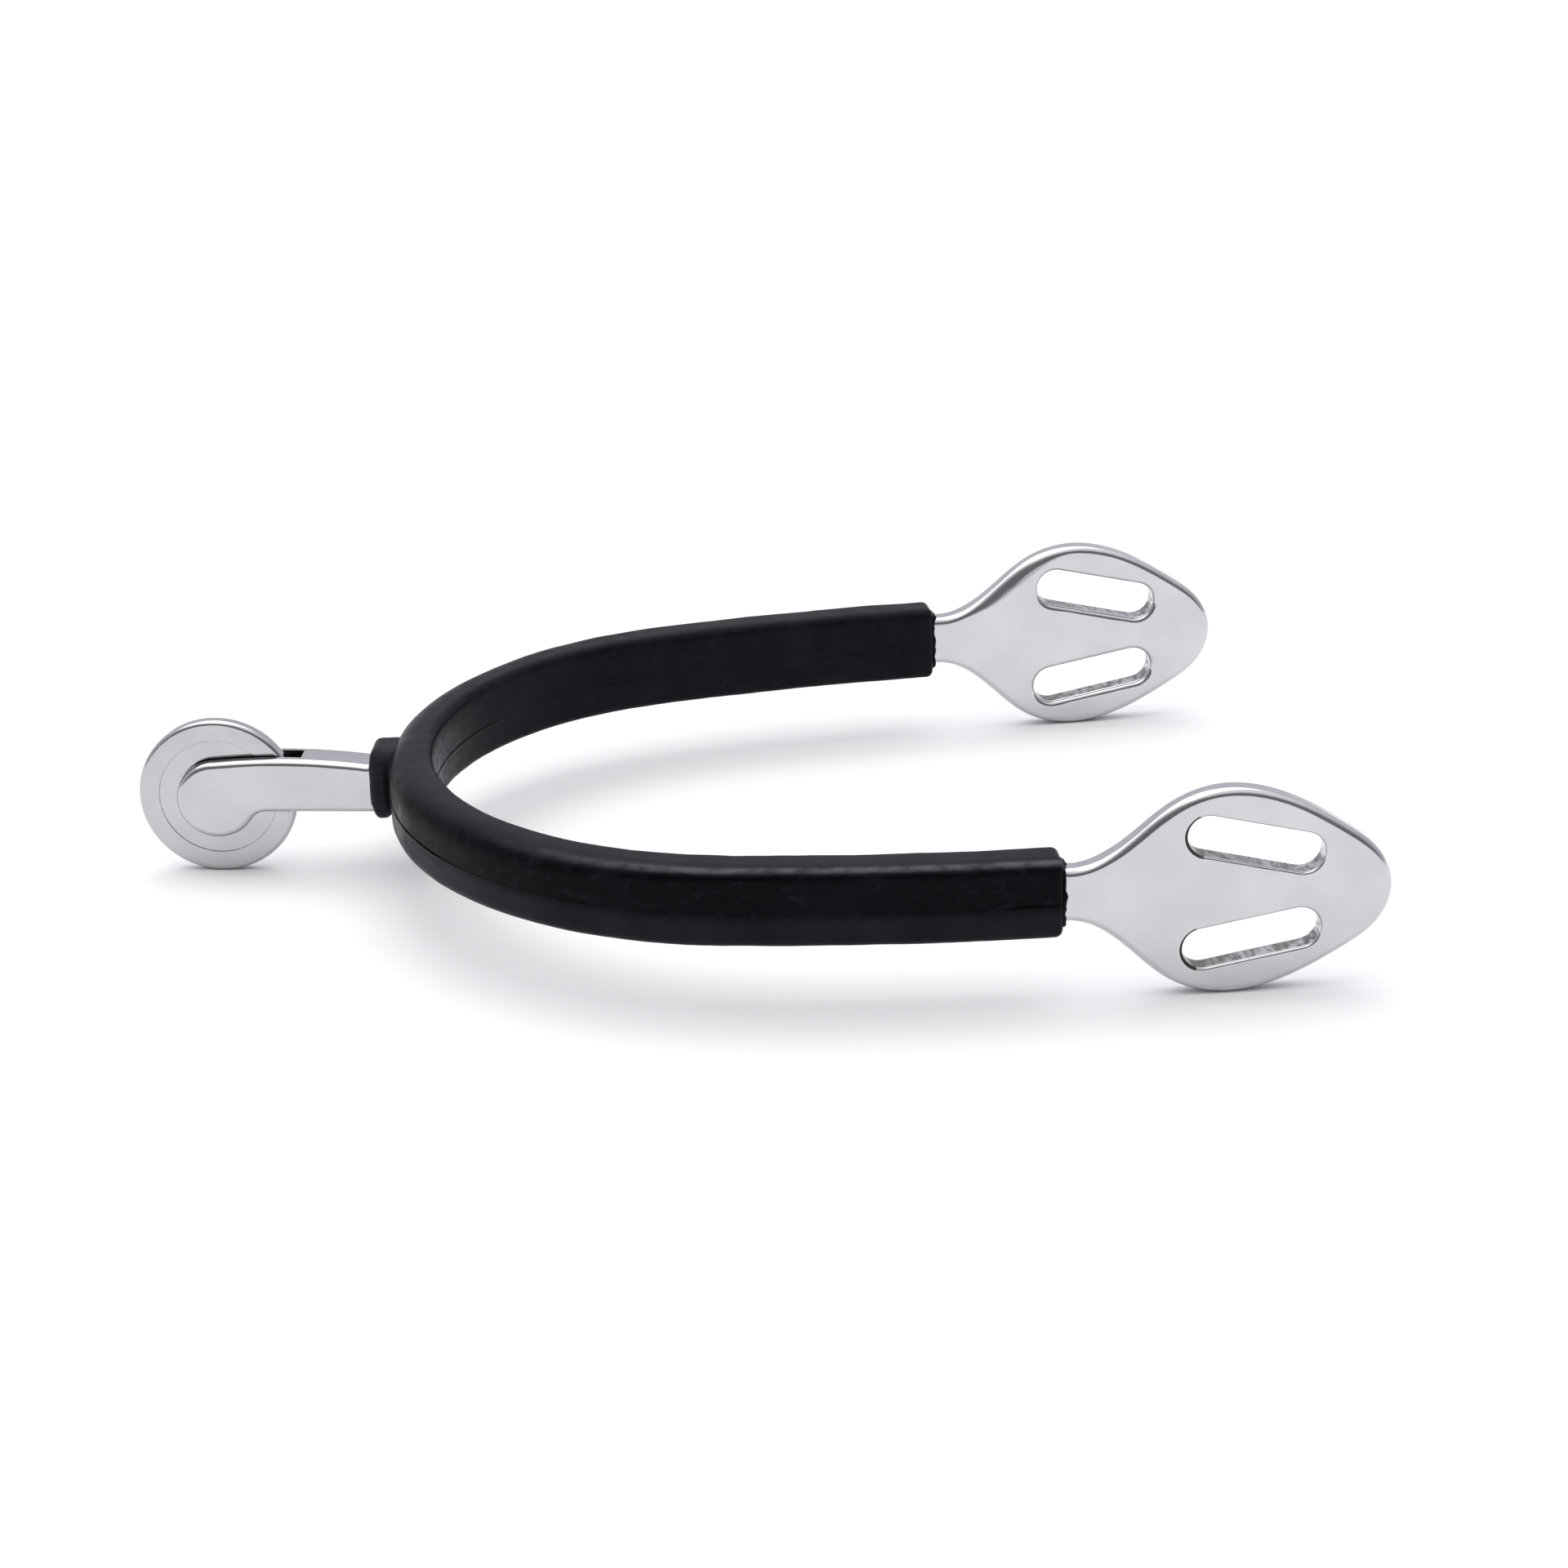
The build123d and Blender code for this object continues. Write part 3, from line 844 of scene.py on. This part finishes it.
def eyelet(side, node_name, steel, milled):
    """Leaf-shaped plate with two strap slots; its edges are rounded by hand, more behind the upper slot."""
    reach = band_reach()
    origin, out = along_band(side * reach)
    forward = Vector((side * out.y, -side * out.x, 0))
    ahead = forward * cos(EYELET_DROOP) - Vector((0, 0, sin(EYELET_DROOP)))
    above = forward * sin(EYELET_DROOP) + Vector((0, 0, cos(EYELET_DROOP)))
    shape = Shape(lambda flat, depth: origin + ahead * flat.x + above * flat.y + out * depth,
                  lambda normal: ahead * normal.x + above * normal.y + out * normal.z)

    start = Vector((1, 0.05)).normalized()
    upper = smooth_curve(LEAF + [(LEAF_TIP, 0)], start, (0, -1), 16)
    upper = [Vector((x, LEAF[0][1])) for x in (LEAF_BACK, LEAF_BACK / 2)] + upper
    outline = [Vector((spot.x, -spot.y)) for spot in upper] + upper[-2::-1]
    normals = outline_normals(outline)
    faces = {}
    walls = {}
    for face, word in ((1, "outer"), (-1, "inner")):
        edges = []
        for flat in outline:
            rear = fade(flat.y, 3, 6) * fade(flat.x, 3, 9) * (1 - fade(flat.x, 12, 19))
            hand = 1 + 0.10 * wobble(Vector((flat.x, flat.y, face)), 6.0, 3.0)
            wide = REAR_BEVEL[word] * rear
            shown = 1 if flat.x > LEAF_BACK + 0.1 else 0.05
            edges.append(((PLATE_EDGE + wide) * hand * shown, PLATE_EDGE + 0.25 * wide))
        walls[word] = shape.rim(outline, normals, PLATE_HALF, edges, face)
        faces[word] = [shape.border, []]
    shape.strip(walls["outer"][0], walls["inner"][0], walls["outer"][1], walls["inner"][1])

    for up in (1, -1):
        rear, front = Vector((SLOT_REAR.x, up * SLOT_REAR.y)), Vector((SLOT_FRONT.x, up * SLOT_FRONT.y))
        run = front - rear
        turn = atan2(run.y, run.x)
        hole = turned_points(front, SLOT_R, turn - pi / 2, turn + pi / 2, 20)
        hole += turned_points(rear, SLOT_R, turn + pi / 2, turn + 3 * pi / 2, 20)
        hole = evenly(hole, 0.5)
        inward = [-normal for normal in outline_normals(hole)]
        for face, word in ((1, "outer"), (-1, "inner")):
            edges = []
            for flat in hole:
                hand = 1 + 0.18 * wobble(Vector((flat.x, flat.y, 3 * face)), 2.0, 5.0)
                edges.append((SLOT_EDGES[word] * hand, SLOT_EDGES[word]))
            # the outer face's slot rims at the rear end take the milled steel, whose painted shade darkens
            # them
            shaded_rear_rims = [1 if face == 1 and normal.x > 0.3 else 0 for normal in inward]
            walls[word] = shape.rim(hole, inward, PLATE_HALF, edges, face, shaded_rear_rims)
            faces[word][1].append(shape.border)
        shape.strip(walls["outer"][0], walls["inner"][0], walls["outer"][1], walls["inner"][1], 1)
    shape.sheet(*faces["outer"], Vector((0, 0, 1)))
    shape.sheet(*faces["inner"], Vector((0, 0, -1)))
    made = shape.finished(node_name + "_polished", [steel, milled])
    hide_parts(node_name)


def neck(steel, fork_shade):
    """Neck with its cheek and fork, and a hole in each side of the fork for the rivet."""
    def turn(normal):
        return NECK_ALONG * normal.x + Vector((0, 0, normal.y)) + NECK_ACROSS * normal.z

    shape = Shape(lambda flat, depth: ROWEL_AXIS + turn(Vector((flat.x, flat.y, depth))), turn)
    # circle through the top of the cheek, the crown and the root
    (x0, y0), (x1, y1), (x2, y2) = (0, CHEEK_R), NECK_CROWN, NECK_ROOT_TOP
    double = 2 * ((x1 - x0) * (y2 - y0) - (x2 - x0) * (y1 - y0))
    a, b = x1 ** 2 + y1 ** 2 - x0 ** 2 - y0 ** 2, x2 ** 2 + y2 ** 2 - x0 ** 2 - y0 ** 2
    centre = Vector((((y2 - y0) * a - (y1 - y0) * b) / double, ((x1 - x0) * b - (x2 - x0) * a) / double))
    radius = (Vector((x0, y0)) - centre).length

    def top(start, end, count):
        xs = [start + (end - start) * k / count for k in range(count)]
        return [Vector((x, centre.y + sqrt(radius ** 2 - (x - centre.x) ** 2))) for x in xs]

    throat = Vector((sqrt((CHEEK_R + THROAT_R) ** 2 - (NECK_BOTTOM - THROAT_R) ** 2), NECK_BOTTOM - THROAT_R))
    low = atan2(throat.y, throat.x)
    outline = [Vector((NECK_ROOT, NECK_ROOT_TOP[1])), Vector((NECK_ROOT - 2, NECK_ROOT_TOP[1]))]
    outline += top(NECK_ROOT_TOP[0], FORK_DEPTH, 16)
    fork_top = len(outline)
    outline += top(FORK_DEPTH, 0, 24)
    outline += turned_points((0, 0), CHEEK_R, pi / 2, 2 * pi + low, 72)[:-1]
    outline += turned_points(throat, THROAT_R, low + pi, pi / 2, 14)[:-1]
    outline += [Vector((throat.x + (FORK_DEPTH - throat.x) * k / 5, NECK_BOTTOM)) for k in range(5)]
    fork_bottom = len(outline)
    outline += [Vector((FORK_DEPTH + (NECK_ROOT - FORK_DEPTH) * k / 8, NECK_BOTTOM)) for k in range(9)]
    normals = outline_normals(outline)
    hand = [1 + 0.08 * wobble(Vector((flat.x, flat.y, 0)), 4.0) for flat in outline]
    edges = [(NECK_EDGE * uneven, NECK_EDGE) for uneven in hand]
    flat_normals = [Vector((normal.x, normal.y, 0)) for normal in normals]

    hole = turned_points((0, 0), RIVET_HOLE_R, 0, 2 * pi, 48)[:-1]
    hole_normals = [Vector((-flat.x, -flat.y, 0)).normalized() for flat in hole]
    inner = {}
    for side in (1, -1):
        wall, _ = shape.rim(outline, normals, NECK_HALF, edges, side)
        inner[side] = [shape.point(flat, side * FORK_HALF) for flat in outline]
        shape.strip(wall, inner[side], flat_normals, flat_normals)
        outer_hole = [shape.point(flat, side * NECK_HALF) for flat in hole]
        inner_hole = [shape.point(flat, side * FORK_HALF) for flat in hole]
        shape.strip(outer_hole, inner_hole, hole_normals, hole_normals)
        shape.sheet(shape.border, [outer_hole], Vector((0, 0, side)))
        # the inside of the fork takes the painted shade steel
        shape.sheet(inner[side][fork_top:fork_bottom + 1], [inner_hole], Vector((0, 0, -side)), 1)
    count = len(outline)
    solid = [k % count for k in range(fork_bottom, fork_top + count + 1)]
    shape.strip(*[[inner[side][k] for k in solid] for side in (1, -1)],
                *[[flat_normals[k] for k in solid]] * 2, closed=False)
    shape.face([inner[1][fork_top], inner[1][fork_bottom], inner[-1][fork_bottom], inner[-1][fork_top]],
               Vector((-1, 0, 0)), 1)
    made = shape.finished("neck_polished", [steel, fork_shade])
    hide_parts("forked_neck")


bpy.context.scene.view_settings.view_transform = "Standard"
camera()
floor()
soft_box("overhead", Vector((-0.15, 0.15, 1.0)), (1.5, 1.1), 7.2)
room()
neck_steel = forged_steel("forged_neck_steel", (0.505, 0.51, 0.523), (0.55, 0.552, 0.562))
plate_steel = forged_steel("forged_plate_steel", (0.55, 0.555, 0.57), (0.60, 0.602, 0.612))
milled = milled_steel()
rubber = moulded_rubber()
for name, look in (("heel_band", plate_steel), ("rowel_rivet", neck_steel), ("rowel_disc", turned_steel())):
    mesh = frame["nodes"][name].data
    mesh.materials.clear()
    mesh.materials.append(look)
neck(neck_steel, fork_shade_steel())
eyelet(-1, "near_eyelet_plate", plate_steel, milled)
eyelet(1, "far_eyelet_plate", plate_steel, milled)
sleeve(rubber)
collar(rubber)

bpy.context.view_layer.update()
